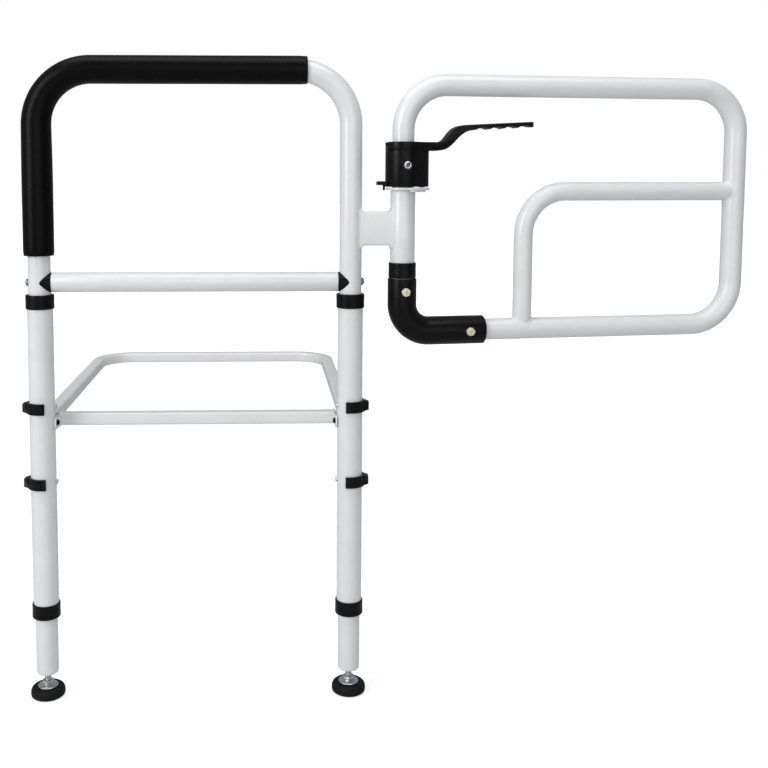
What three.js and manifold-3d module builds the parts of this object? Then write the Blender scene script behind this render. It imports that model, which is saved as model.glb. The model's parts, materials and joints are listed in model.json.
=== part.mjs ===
// Bedside assist rail: a hoop that telescopes in two posts on levelling feet, a loop that lies
// under the mattress, and a swing arm with a squeeze lever that lifts its lock pin.
// Millimetres, +Z up, -Y towards the user, +Y towards the bed.
import * as THREE from 'three';
import { mergeVertices } from 'three/addons/utils/BufferGeometryUtils.js';
import Module from 'manifold-3d';

const wasm = await Module();
wasm.setup();

// Driving dimensions
const gap = 0.3; // left between pieces that touch
const wall = 1.5; // of every tube
const roundSides = 16; // of a tube
const smallSides = 10; // of a pin, a bolt or a small hole
const bendSteps = 6;
const quarterTurn = Math.PI / 2;

const postSpacing = 392; // between the two post axes
const postRadius = 16;
const postBottom = 108.1;
const postTop = 521.3;
const legRadius = 14; // of the tubes that slide in the posts
const topCollarRise = 3.7; // of its lip above the post
const topCollarHeight = 18;
const bottomCollarDrop = 1.6;
const bottomCollarHeight = 18.5;

const hoopTop = 804.8; // axis of the top bar
const hoopBend = 68;
const hoopBottom = 366;
const footLegTop = 299;
const footLegBottom = 31;
const gripRadius = 19;
const gripBottom = 574;
const gripRun = 538.7; // length of the foam along the hoop

const holePitch = 20;
const hoopPinZ = 381;
const legPinZ = 284;
const holesAboveHoopPin = 5;
const holesBelowLegPin = 7;
const pinRadius = 3;
const pinHole = 3.5;
const pinSlot = 7; // width of the open slot in the end of a sliding tube

const crossBarZ = 540.3;
const crossBarRadius = 12.5;
const crossBarHalf = 179.9;

const loopZ = 360;
const loopHeight = 16;
const loopWidth = 18;
const loopArmX = 194;
const loopFront = 19.6;
const loopRear = 480;
const loopBend = 56;
const loopScrewZ = hoopPinZ - holePitch;

const pivotX = 261.8;
const armTurn = THREE.MathUtils.degToRad(7.5); // of the arm at rest, towards the bed
const sleeveRadius = 15.5;
const sleeveBottom = 546.7;
const sleeveTop = 655.5;
const bracketZ = 607.5;
const bracketHeight = 42.5;
const bracketDepth = 20;

const armRadius = 13.7;
const armTop = 787.5;
const armBottom = 476.4;
const armReach = 455;
const armBend = 57;
const armStart = 514; // the tube's two ends, inside the elbow
const armEnd = 62;
const braceRadius = 12;
const braceX = 161;
const braceZ = 654;
const braceBend = 56;
const elbowRadius = 18.2;
const elbowTop = 544.3;
const elbowReach = 107.6;
const elbowBend = 35;
const elbowBolts = [[0, 528], [85.3, armBottom]]; // along the arm, and up

const plateBottom = 655.8;
const plateTop = 658.8;
const indexRadius = 24.7; // of the lock pin's circle
const indexAngles = [-72, -36, 0, 36, 72];
const housingBottom = 659.9;
const housingTop = 705;
const housingScrewZ = 686.8;
const leverTop = 715.8;
const housingRadius = 22.4;
const noseRadius = 12.1;
const noseX = 20.7;
const leverPivotX = -18.4;
const leverPivotZ = 710.4;
const leverTip = 170.4;
const leverWidth = 22;

// Shapes
const point = (x, y, z) => new THREE.Vector3(x, y, z);

// A path of straights and right-angle bends, sampled only where it changes direction.
class BentPath extends THREE.Curve {
  constructor(corners, bendRadius = 0, runStart = 0, runEnd = Infinity) {
    super();
    this.pieces = [];
    let start = corners[0];
    let run = 0;
    const add = (piece) => {
      this.pieces.push({ ...piece, from: run });
      run += piece.length;
    };
    for (let i = 1; i < corners.length; i += 1) {
      const along = corners[i].clone().sub(corners[i - 1]).normalize();
      const last = i === corners.length - 1;
      const end = last ? corners[i] : corners[i].clone().addScaledVector(along, -bendRadius);
      add({ start, along, length: end.distanceTo(start), steps: 1 });
      if (!last) {
        const turned = corners[i + 1].clone().sub(corners[i]).normalize();
        const centre = end.clone().addScaledVector(turned, bendRadius);
        add({ centre, along, turned, length: bendRadius * quarterTurn, steps: bendSteps });
        start = corners[i].clone().addScaledVector(turned, bendRadius);
      }
    }
    const stop = Math.min(run, runEnd);
    const stations = this.pieces.flatMap((piece) =>
      Array.from({ length: piece.steps }, (_, k) => piece.from + (piece.length * k) / piece.steps));
    const inside = stations.filter((s) => s > runStart + gap && s < stop - gap);
    this.stations = [runStart, ...inside, stop];
    this.bendRadius = bendRadius;
  }

  locate(u) {
    const run = this.stations[Math.round(u * (this.stations.length - 1))];
    const piece = this.pieces.findLast((p) => p.from <= run + 1e-9) ?? this.pieces[0];
    const into = run - piece.from;
    if (!piece.turned) {
      return [piece.start.clone().addScaledVector(piece.along, into), piece.along.clone()];
    }
    const angle = into / this.bendRadius;
    const place = piece.centre.clone()
      .addScaledVector(piece.turned, -this.bendRadius * Math.cos(angle))
      .addScaledVector(piece.along, this.bendRadius * Math.sin(angle));
    const heading = piece.along.clone().multiplyScalar(Math.cos(angle))
      .addScaledVector(piece.turned, Math.sin(angle));
    return [place, heading];
  }

  getPointAt(u, target = point(0, 0, 0)) {
    return target.copy(this.locate(u)[0]);
  }

  getTangentAt(u, target = point(0, 0, 0)) {
    return target.copy(this.locate(u)[1]);
  }
}

function circle(radius, x = 0, y = 0) {
  return new THREE.Shape().absarc(x, y, radius, 0, 2 * Math.PI);
}

function sweep(shape, path, sides = roundSides) {
  const steps = path.stations.length - 1;
  return new THREE.ExtrudeGeometry(shape, { steps, curveSegments: sides / 2, extrudePath: path });
}

function tube(path, radius, bore = radius - wall) {
  const ring = circle(radius);
  ring.holes.push(circle(bore));
  return sweep(ring, path);
}

// A flat shape in X and Y, raised from one height to another.
function plate(shape, low, high, sides = roundSides) {
  const options = { depth: high - low, bevelEnabled: false, curveSegments: sides / 2 };
  return new THREE.ExtrudeGeometry(shape, options).translate(0, 0, low);
}

// A side view in X and Z, spread evenly to both sides of Y.
function profile(shape, width, sides = roundSides) {
  return plate(shape, -width / 2, width / 2, sides).rotateX(quarterTurn);
}

function block(x0, x1, y0, y1, z0, z1) {
  const box = new THREE.BoxGeometry(x1 - x0, y1 - y0, z1 - z0);
  return box.translate((x0 + x1) / 2, (y0 + y1) / 2, (z0 + z1) / 2);
}

// A round bar along X, Y or Z, placed by its two ends and where its axis passes.
function rod(axis, radius, from, to, [a, b] = [0, 0], sides = smallSides) {
  const bar = new THREE.CylinderGeometry(radius, radius, to - from, sides);
  const middle = (from + to) / 2;
  if (axis === 'x') return bar.rotateZ(quarterTurn).translate(middle, a, b);
  if (axis === 'y') return bar.translate(a, middle, b);
  return bar.rotateX(quarterTurn).translate(a, b, middle);
}

function turned(pairs, sides = roundSides) {
  const points = pairs.map(([radius, height]) => new THREE.Vector2(radius, height));
  const onAxis = pairs[0][0] === 0;
  if (!onAxis) points.push(points[0].clone());
  return new THREE.LatheGeometry(points, sides).rotateX(quarterTurn);
}

function hexagon(acrossFlats, low, high, from = 0) {
  const radius = acrossFlats / Math.sqrt(3);
  const bar = new THREE.CylinderGeometry(radius, radius, high - low, 6).rotateX(quarterTurn);
  const solidBar = toSolid(bar.translate(0, 0, (low + high) / 2));
  return from ? solidBar.subtract(toSolid(rod('z', from, low - 1, high + 1))) : solidBar;
}

// Solids
function toSolid(geometry) {
  if (!geometry.isBufferGeometry) return geometry;
  const bare = geometry.clone();
  bare.deleteAttribute('normal');
  bare.deleteAttribute('uv');
  const merged = mergeVertices(bare, 1e-4);
  const vertProperties = new Float32Array(merged.attributes.position.array);
  const triVerts = new Uint32Array(merged.index.array);
  const inward = signedVolume(vertProperties, triVerts) < 0;
  if (inward) triVerts.reverse();
  return new wasm.Manifold(new wasm.Mesh({ numProp: 3, vertProperties, triVerts }));
}

function signedVolume(positions, triangles) {
  const corner = (i) => point(...positions.subarray(3 * triangles[i], 3 * triangles[i] + 3));
  let sum = 0;
  for (let i = 0; i < triangles.length; i += 3) {
    sum += corner(i).dot(corner(i + 1).cross(corner(i + 2)));
  }
  return sum / 6;
}

function toGeometry(solid) {
  const mesh = solid.getMesh();
  const geometry = new THREE.BufferGeometry();
  geometry.setAttribute('position', new THREE.BufferAttribute(mesh.vertProperties, 3));
  geometry.setIndex(new THREE.BufferAttribute(mesh.triVerts, 1));
  return geometry;
}

function join(...shapes) {
  return shapes.map(toSolid).reduce((sum, next) => sum.add(next));
}

function cut(shape, ...tools) {
  return tools.map(toSolid).reduce((rest, tool) => rest.subtract(tool), toSolid(shape));
}

const finishes = {
  whitePaint: { color: 0xe9ebec, roughness: 0.3, metalness: 0 },
  foam: { color: 0x16171a, roughness: 0.9, metalness: 0 },
  blackPlastic: { color: 0x121315, roughness: 0.5, metalness: 0 },
  rubber: { color: 0x17181a, roughness: 0.8, metalness: 0 },
  zinc: { color: 0xb9bcbf, roughness: 0.35, metalness: 1 },
  yellowZinc: { color: 0xc9c6ae, roughness: 0.4, metalness: 0.7 },
  blackScrew: { color: 0x0e0e10, roughness: 0.4, metalness: 0.5 },
  springSteel: { color: 0x8d9094, roughness: 0.3, metalness: 1 },
};

function add(group, name, shape, finish) {
  const geometry = toGeometry(toSolid(shape));
  const mesh = new THREE.Mesh(geometry, new THREE.MeshStandardMaterial(finishes[finish]));
  mesh.name = name;
  group.add(mesh);
}

// Posts, in a frame whose +X points away from the middle of the rail
function postTube() {
  const tools = [];
  for (let k = -1; k <= holesAboveHoopPin; k += 1) tools.push(hoopPinZ + k * holePitch);
  for (let k = 0; k <= holesBelowLegPin; k += 1) tools.push(legPinZ - k * holePitch);
  const ring = [
    [postRadius, postBottom],
    [postRadius, postTop],
    [postRadius - wall, postTop],
    [postRadius - wall, postBottom],
  ];
  const across = postRadius + 2;
  return cut(turned(ring), ...tools.map((z) => rod('x', pinHole, -across, across, [0, z], 8)));
}

// A cap that grips the end of an outer tube and guides the tube inside it. It is drawn for the
// lower end, its lip down at lipZ, and a negative height turns it over for the upper end.
function collar(outerRadius, innerRadius, lipZ, height) {
  const up = Math.sign(height);
  const skirt = outerRadius + 0.4;
  const lip = innerRadius + 0.45;
  return turned([
    [lip, lipZ],
    [outerRadius + 1, lipZ],
    [outerRadius + 1.7, lipZ + up * 1.8],
    [outerRadius + 1.9, lipZ + (height - up * 3)],
    [outerRadius + 1.3, lipZ + height],
    [skirt, lipZ + height],
    [skirt, lipZ + up * 1.3],
    [lip, lipZ + up * 1.3],
  ]);
}

const clipHeight = 14;
const clipInner = postRadius + 0.4;
const clipOuter = clipInner + 3;
const clipTail = 6.4; // how far the strap runs past the post's axis
const clipFace = 24; // outer face of the head
const clipHead = 7; // half its width and height

function clipStrap(z) {
  const strap = new THREE.Shape()
    .moveTo(-clipTail, clipOuter)
    .lineTo(-clipTail, clipInner)
    .lineTo(0, clipInner)
    .absarc(0, 0, clipInner, quarterTurn, -quarterTurn, true)
    .lineTo(-clipTail, -clipInner)
    .lineTo(-clipTail, -clipOuter)
    .lineTo(0, -clipOuter)
    .absarc(0, 0, clipOuter, -quarterTurn, quarterTurn, false);
  const head = new THREE.Shape()
    .moveTo(clipInner + 1, -clipHead)
    .lineTo(clipFace - 2, -clipHead)
    .lineTo(clipFace, 2 - clipHead)
    .lineTo(clipFace, clipHead - 2)
    .lineTo(clipFace - 2, clipHead)
    .lineTo(clipInner + 1, clipHead);
  const low = z - clipHeight / 2;
  const body = join(plate(strap, low, low + clipHeight, 12), plate(head, low, low + clipHeight));
  return cut(body, rod('x', pinRadius + gap, 0, clipFace - 3, [0, z]));
}

function clipPin(z) {
  return rod('x', pinRadius, -postRadius - 2.3, clipFace - 3 - gap, [0, z]);
}

function footLeg() {
  const tubeBore = legRadius - wall;
  const body = turned([
    [8.6, footLegBottom],
    [9.8, footLegBottom],
    [12.6, footLegBottom + 1.4],
    [legRadius, footLegBottom + 5],
    [legRadius, footLegTop],
    [tubeBore, footLegTop],
    [tubeBore, footLegBottom + 5.6],
    [11.2, footLegBottom + 2.8],
    [8.6, footLegBottom + 2.8],
  ]);
  return cut(body, endSlot(0, legPinZ - pinSlot / 2, footLegTop + 1));
}

// The open slot in the end of a sliding tube that lets its lock pin through.
function endSlot(x, low, high) {
  const across = legRadius + 2;
  return block(x - across, x + across, -pinSlot / 2, pinSlot / 2, low, high);
}

function legNut() {
  return turned([[4.4, 31.2], [8.2, 31.2], [8.2, 37.4], [12, 37.4], [12, 50], [4.4, 50]]);
}

function footStud() {
  const flange = turned([
    [0, 5.3], [5, 5.3], [5, 13.1], [13, 13.1], [13, 14.6], [7, 15.4], [0, 15.4],
  ]);
  return join(flange, hexagon(13, 15, 20.5), rod('z', 4, 20, 64));
}

function footPad() {
  const outside = turned([
    [0, 0], [19.5, 0], [21.4, 1.4], [22, 4.5], [21.6, 9], [19.5, 12.1], [17, 12.8], [0, 12.8],
  ]);
  return cut(outside, rod('z', 5.4, 5, 14));
}

const saddleFace = crossBarHalf + gap;

// The saddle and its bolt reach inwards, which is -X here.
function saddle() {
  const inward = saddleFace - postSpacing / 2;
  const cap = rod('x', crossBarRadius + 0.5, inward, -8, [0, crossBarZ], roundSides);
  const plug = rod('x', crossBarRadius - wall - gap, inward - 12, inward + 1, [0, crossBarZ], roundSides);
  const leg = rod('z', legRadius + gap, crossBarZ - 20, crossBarZ + 20, [0, 0], roundSides);
  const boltHole = rod('x', pinHole, -40, 0, [0, crossBarZ]);
  return cut(join(cap, plug), leg, boltHole);
}

function crossBarBolt() {
  const seat = legRadius + 0.15;
  const outline = [[0, seat], [5, seat], [4.7, seat + 1.4], [3.2, seat + 2.7], [0, seat + 3.1]];
  const dome = turned(outline, smallSides);
  const head = dome.rotateY(quarterTurn).translate(0, 0, crossBarZ);
  return join(head, rod('x', 3, -26, seat + 1, [0, crossBarZ]));
}

const rail = new THREE.Group();
const frame = new THREE.Group();
rail.add(frame);

function addSide(side, turn) {
  const post = new THREE.Group();
  post.position.x = (postSpacing / 2) * Math.cos(turn);
  post.rotation.z = turn;
  frame.add(post);
  add(post, `${side}_post_tube`, postTube(), 'whitePaint');
  const topCollar = collar(postRadius, legRadius, postTop + topCollarRise, -topCollarHeight);
  const bottomCollar = collar(postRadius, legRadius, postBottom - bottomCollarDrop, bottomCollarHeight);
  add(post, `${side}_post_top_collar`, topCollar, 'blackPlastic');
  add(post, `${side}_post_bottom_collar`, bottomCollar, 'blackPlastic');
  for (const [level, z] of [['upper', hoopPinZ], ['lower', legPinZ]]) {
    add(post, `${side}_${level}_clip_strap`, clipStrap(z), 'blackPlastic');
    add(post, `${side}_${level}_clip_pin`, clipPin(z), 'zinc');
  }
  add(post, `${side}_foot_leg`, footLeg(), 'whitePaint');
  add(post, `${side}_leg_nut`, legNut(), 'zinc');
  add(post, `${side}_foot_stud`, footStud(), 'zinc');
  add(post, `${side}_foot_pad`, footPad(), 'rubber');
  add(post, `${side}_saddle`, saddle(), 'blackPlastic');
  add(post, `${side}_cross_bar_bolt`, crossBarBolt(), 'zinc');
}

// Hoop
function hoopPath(from, to) {
  const side = postSpacing / 2;
  const corners = [[-side, hoopBottom], [-side, hoopTop], [side, hoopTop], [side, hoopBottom]];
  return new BentPath(corners.map(([x, z]) => point(x, 0, z)), hoopBend, from, to);
}

function hoopTube() {
  const side = postSpacing / 2;
  const tools = [-side, side].flatMap((x) => [
    endSlot(x, hoopBottom - 1, hoopPinZ + pinSlot / 2),
    rod('x', pinHole, x - legRadius - 2, x + legRadius + 2, [0, crossBarZ]),
  ]);
  return cut(tube(hoopPath(), legRadius), ...tools);
}

function addHoop() {
  add(frame, 'hoop_tube', hoopTube(), 'whitePaint');
  const gripStart = gripBottom - hoopBottom;
  const gripPath = hoopPath(gripStart, gripStart + gripRun);
  add(frame, 'foam_grip', tube(gripPath, gripRadius, legRadius + 0.4), 'foam');
  const bar = [point(-crossBarHalf, 0, crossBarZ), point(crossBarHalf, 0, crossBarZ)];
  add(frame, 'cross_bar', tube(new BentPath(bar), crossBarRadius), 'whitePaint');
}

// Loop under the mattress
function roundedBar(height, width, thickness) {
  const corner = 3;
  const outline = (inset) => {
    const h = height / 2 - inset;
    const w = width / 2 - inset;
    const r = corner - inset;
    return new THREE.Shape()
      .moveTo(h, w - r)
      .absarc(h - r, w - r, r, 0, quarterTurn)
      .absarc(r - h, w - r, r, quarterTurn, 2 * quarterTurn)
      .absarc(r - h, r - w, r, 2 * quarterTurn, 3 * quarterTurn)
      .absarc(h - r, r - w, r, 3 * quarterTurn, 4 * quarterTurn);
  };
  const shape = outline(0);
  shape.holes.push(outline(thickness));
  return shape;
}

const earInner = 177.6; // the brackets' faces towards the middle
const earThick = 2.1;

function mattressLoop() {
  const corners = [
    [-loopArmX, loopFront],
    [-loopArmX, loopRear],
    [loopArmX, loopRear],
    [loopArmX, loopFront],
  ];
  const path = new BentPath(corners.map(([x, y]) => point(x, y, loopZ)), loopBend);
  return sweep(roundedBar(loopHeight, loopWidth, wall), path, 2);
}

function loopFrontBar() {
  const reach = earInner - gap;
  const bar = [point(-reach, 26.5, loopZ), point(reach, 26.5, loopZ)];
  return sweep(roundedBar(loopHeight, 16, wall), new BentPath(bar), 2);
}

function loopBracket(sign) {
  const earFront = -8;
  const backFace = postRadius + gap;
  const ear = new THREE.Shape()
    .moveTo(34.5, loopZ - 8)
    .lineTo(earFront + 8, loopZ - 8)
    .absarc(earFront + 8, loopZ, 8, 3 * quarterTurn, quarterTurn, true)
    .lineTo(34.5, loopZ + 8);
  // The ear's outline is drawn in Y and Z, so it is turned to stand across X.
  const earPlate = plate(ear, earInner, earInner + earThick).rotateX(quarterTurn).rotateZ(quarterTurn);
  const half = loopHeight / 2;
  const outer = loopArmX + loopWidth / 2;
  const back = block(earInner, outer, backFace, backFace + 3, loopZ - half, loopZ + half);
  const body = cut(join(earPlate, back), rod('x', 3, 170, 185, [0, loopScrewZ]));
  return sign > 0 ? body : body.mirror([1, 0, 0]);
}

function loopScrew(sign) {
  const dome = turned([[0, 0], [3.7, 0], [3.5, 1.6], [2.2, 2.9], [0, 3.3]], smallSides);
  const head = dome.rotateY(-quarterTurn).translate(earInner - 0.1, 0, loopScrewZ);
  const body = join(head, rod('x', 2.5, earInner - 1, 189, [0, loopScrewZ]));
  return sign > 0 ? body : body.mirror([1, 0, 0]);
}

function loopNut(sign) {
  const nut = toGeometry(hexagon(8, 182.6, 186.6, 2.8));
  const body = toSolid(nut.rotateY(quarterTurn).translate(0, 0, loopScrewZ));
  return sign > 0 ? body : body.mirror([1, 0, 0]);
}

function addLoop() {
  add(frame, 'under_mattress_loop', mattressLoop(), 'whitePaint');
  add(frame, 'loop_front_bar', loopFrontBar(), 'whitePaint');
  for (const [side, sign] of [['left', -1], ['right', 1]]) {
    add(frame, `${side}_loop_bracket`, loopBracket(sign), 'whitePaint');
    add(frame, `${side}_loop_screw`, loopScrew(sign), 'blackScrew');
    add(frame, `${side}_loop_nut`, loopNut(sign), 'zinc');
  }
}

// Pivot, fixed to the hoop
function pivotBracket() {
  const corner = roundedBar(bracketHeight, bracketDepth, 2);
  const path = new BentPath([point(postSpacing / 2, 0, bracketZ), point(pivotX, 0, bracketZ)]);
  const half = bracketHeight;
  const upright = (radius, x) => rod('z', radius, bracketZ - half, bracketZ + half, [x, 0], roundSides);
  const leg = upright(legRadius + gap, postSpacing / 2);
  const sleeve = upright(sleeveRadius + gap, pivotX);
  return cut(sweep(corner, path, 4), leg, sleeve);
}

function pivotSleeve() {
  const bore = sleeveRadius - wall;
  return turned([
    [sleeveRadius, sleeveBottom],
    [sleeveRadius, sleeveTop],
    [bore, sleeveTop],
    [bore, sleeveBottom],
  ]);
}

// The plate is wide where the lock pin works and narrow where the stop peg swings past it.
function indexPlate() {
  const sector = THREE.MathUtils.degToRad(85.5);
  const outline = new THREE.Shape()
    .absarc(0, 0, 33, -sector, sector)
    .absarc(0, 0, 21, sector, 2 * Math.PI - sector);
  outline.holes.push(circle(armRadius + 0.5));
  const places = indexAngles.map((degrees) => {
    const angle = THREE.MathUtils.degToRad(degrees);
    return [indexRadius * Math.cos(angle), indexRadius * Math.sin(angle)];
  });
  const cups = places.map((place) => rod('z', 4.9, plateBottom - 2.2, plateBottom + 1, place));
  const pockets = places.map((place) => rod('z', 4.2, plateBottom - 1.2, plateTop + 1, place));
  return cut(join(plate(outline, plateBottom, plateTop), ...cups), ...pockets);
}

function addPivot() {
  add(frame, 'pivot_bracket', pivotBracket(), 'whitePaint');
  const pivot = new THREE.Group();
  pivot.position.x = pivotX;
  pivot.rotation.z = armTurn;
  frame.add(pivot);
  add(pivot, 'pivot_sleeve', pivotSleeve(), 'whitePaint');
  add(pivot, 'sleeve_collar', collar(sleeveRadius, armRadius, sleeveBottom - 1.7, 19.4), 'blackPlastic');
  add(pivot, 'index_plate', indexPlate(), 'whitePaint');
  return pivot;
}

// Swing arm, in a frame with its origin on the pivot axis and +X along the arm
const upright = (x, z) => point(x, 0, z);

function armTube() {
  const corners = [
    upright(0, armStart),
    upright(0, armTop),
    upright(armReach, armTop),
    upright(armReach, armBottom),
    upright(armEnd, armBottom),
  ];
  const holes = elbowBolts.map((place) => rod('y', 3.3, -30, 30, place));
  const screwHole = rod('y', 3.1, -30, 0, [0, housingScrewZ]);
  return cut(tube(new BentPath(corners, armBend), armRadius), ...holes, screwHole);
}

function armBrace() {
  const corners = [upright(braceX, armBottom), upright(braceX, braceZ), upright(armReach, braceZ)];
  const body = tube(new BentPath(corners, braceBend), braceRadius);
  const bar = rod('x', armRadius + gap, braceX - 30, braceX + 30, [0, armBottom], roundSides);
  const post = rod('z', armRadius + gap, braceZ - 30, braceZ + 30, [armReach, 0], roundSides);
  return cut(body, bar, post).decompose().reduce((a, b) => (a.volume() > b.volume() ? a : b));
}

function elbow() {
  const corners = [upright(0, elbowTop), upright(0, armBottom), upright(elbowReach, armBottom)];
  const body = tube(new BentPath(corners, elbowBend), elbowRadius, armRadius + 0.35);
  return cut(body, ...elbowBolts.map((place) => rod('y', 3.3, -30, 30, place)));
}

function elbowBolt([x, z]) {
  const head = toGeometry(hexagon(10, elbowRadius + 0.1, elbowRadius + 4)).rotateX(quarterTurn);
  return join(head.translate(x, 0, z), rod('y', 3, -elbowRadius - 1, elbowRadius + 6, [x, z]));
}

function elbowNut([x, z]) {
  const nut = toGeometry(hexagon(10, -elbowRadius - 5, -elbowRadius - 0.1, 3.2)).rotateX(quarterTurn);
  return nut.translate(x, 0, z);
}

// The outline that the housing and the lever's ring share: two circles and their tangents.
function eggShape(inset = 0) {
  const tangent = Math.acos((housingRadius - noseRadius) / noseX);
  return new THREE.Shape()
    .absarc(0, 0, housingRadius - inset, tangent, 2 * Math.PI - tangent)
    .absarc(noseX, 0, noseRadius - inset, -tangent, tangent);
}

function lockHousing() {
  const body = plate(eggShape(), housingBottom, housingTop);
  const tab = block(-33.6, -15, -6, 6, 662, 667);
  const lug = new THREE.Shape()
    .moveTo(-21.4, housingTop - 1)
    .lineTo(-15.4, housingTop - 1)
    .lineTo(-15.4, leverPivotZ)
    .absarc(leverPivotX, leverPivotZ, 3, 0, 2 * quarterTurn);
  return cut(
    join(body, tab, profile(lug, 10, smallSides)),
    rod('z', armRadius + 0.4, housingBottom - 1, leverTop, [0, 0], roundSides),
    rod('z', 4.4, housingBottom - 1, 669, [indexRadius, 0]),
    rod('z', 6.3, 668, housingTop + 1, [indexRadius, 0]),
    rod('y', 3.1, -30, 0, [0, housingScrewZ]),
    rod('y', 1.8, -30, 30, [leverPivotX, leverPivotZ]),
    rod('z', 1.8, 650, 665, [-indexRadius, 0]),
  );
}

function housingScrew() {
  const head = turned([[0, 22.5], [5, 22.5], [4.6, 24.2], [2.4, 24.8], [2, 23.6], [0, 23.6]], smallSides);
  const placed = toSolid(head.rotateX(quarterTurn).translate(0, 0, housingScrewZ));
  return join(placed, rod('y', 2.8, -23, -10, [0, housingScrewZ]));
}

function lockPin() {
  const top = 713.8;
  const outline = [
    [0, plateTop + 0.4], [4, plateTop + 0.4], [4, 668.5], [5.8, 668.5], [5.8, 671.5], [2.5, 671.5],
    [2.5, top - 2.3], [5, top - 2.3], [5, top], [0, top],
  ];
  return turned(outline, smallSides).translate(indexRadius, 0, 0);
}

class Coil extends THREE.Curve {
  constructor(radius, low, high, turns) {
    super();
    Object.assign(this, { radius, low, high, turns });
  }

  getPoint(t, target = point(0, 0, 0)) {
    const angle = 2 * Math.PI * this.turns * t;
    const height = this.low + (this.high - this.low) * t;
    return target.set(this.radius * Math.cos(angle), this.radius * Math.sin(angle), height);
  }
}

function lockSpring() {
  const coil = new Coil(4.3, 672.6, 699, 6);
  const options = { steps: 48, curveSegments: 2, extrudePath: coil };
  return new THREE.ExtrudeGeometry(circle(0.6), options).translate(indexRadius, 0, 0);
}

function springCap() {
  return turned([[3, 700.2], [6, 700.2], [6, 704.6], [3, 704.6]], smallSides).translate(indexRadius, 0, 0);
}

// Side view of the lever: a flat root, an S-bend, and a grip with finger hollows underneath.
function leverSide() {
  const hollowStart = 92;
  const hollowPitch = 18.6;
  const hollowDepth = 4.4;
  const rise = 0.054; // of the grip's underside, per millimetre along it
  const underside = (x) => 731.6 + rise * (x - hollowStart);
  const side = new THREE.Shape()
    .moveTo(10, leverTop)
    .lineTo(44, leverTop)
    .bezierCurveTo(57, leverTop, 58, 736.6, 77, 737.4)
    .lineTo(leverTip, 742.5)
    .lineTo(leverTip, underside(leverTip));
  for (let k = 4; k > 0; k -= 1) {
    const x = hollowStart + k * hollowPitch;
    const last = x - hollowPitch;
    side.lineTo(x, underside(x));
    side.quadraticCurveTo((x + last) / 2, underside(x) + hollowDepth, last, underside(last));
  }
  return side
    .bezierCurveTo(66, 728.5, 66, housingTop + gap, 38, housingTop + gap)
    .lineTo(10, housingTop + gap);
}

function leverPlan() {
  const half = leverWidth / 2;
  const tip = leverTip - half + 2;
  return new THREE.Shape()
    .moveTo(5, -half)
    .lineTo(tip, 2 - half)
    .quadraticCurveTo(leverTip + 1, 2 - half, leverTip + 1, 0)
    .quadraticCurveTo(leverTip + 1, half - 2, tip, half - 2)
    .lineTo(5, half);
}

function releaseLever() {
  const grip = toSolid(profile(leverSide(), leverWidth + 2, 12))
    .intersect(toSolid(plate(leverPlan(), housingTop - 5, 760, 8)));
  const ring = plate(eggShape(), housingTop + gap, leverTop);
  const tubeSlot = new THREE.Shape()
    .absarc(0, 0, 14.7, quarterTurn, 3 * quarterTurn)
    .absarc(1.6, 0, 14.7, -quarterTurn, quarterTurn);
  return cut(
    join(ring, grip),
    plate(tubeSlot, housingTop - 1, leverTop + 1),
    block(-24, -13, -5.4, 5.4, housingTop - 1, leverTop + 1),
    block(-24, leverPivotX + 1.5, -20, 20, housingTop - 1, housingTop + 1.3),
    rod('z', 3.7, housingTop - 1, leverTop + 1, [indexRadius, 0]),
    rod('z', 6.4, leverPivotZ + 0.1, leverTop + 1, [indexRadius, 0]),
    rod('y', 1.8, -30, 30, [leverPivotX, leverPivotZ]),
  );
}

function addArm(arm) {
  add(arm, 'arm_tube', armTube(), 'whitePaint');
  add(arm, 'arm_brace', armBrace(), 'whitePaint');
  add(arm, 'elbow', elbow(), 'blackPlastic');
  for (const [k, name] of ['upper', 'lower'].entries()) {
    add(arm, `${name}_elbow_bolt`, elbowBolt(elbowBolts[k]), 'yellowZinc');
    add(arm, `${name}_elbow_nut`, elbowNut(elbowBolts[k]), 'yellowZinc');
  }
  add(arm, 'lock_housing', lockHousing(), 'blackPlastic');
  add(arm, 'housing_screw', housingScrew(), 'zinc');
  add(arm, 'stop_peg', rod('z', 1.5, 655.7, 664.7, [-indexRadius, 0]), 'blackPlastic');
  add(arm, 'lock_pin', lockPin(), 'zinc');
  add(arm, 'lock_spring', lockSpring(), 'springSteel');
  add(arm, 'spring_cap', springCap(), 'blackPlastic');
  add(arm, 'release_lever', releaseLever(), 'blackPlastic');
  add(arm, 'lever_pin', rod('y', 1.5, -12, 12, [leverPivotX, leverPivotZ]), 'zinc');
}

addSide('left', Math.PI);
addSide('right', 0);
addHoop();
addLoop();
addArm(addPivot());

// The origin is on the floor, under the middle of the whole rail.
const middle = new THREE.Box3().setFromObject(rail).getCenter(point(0, 0, 0));
frame.position.set(-middle.x, -middle.y, 0);

export default rail;
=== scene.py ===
import json
import math

import bpy
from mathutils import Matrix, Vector, noise


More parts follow.
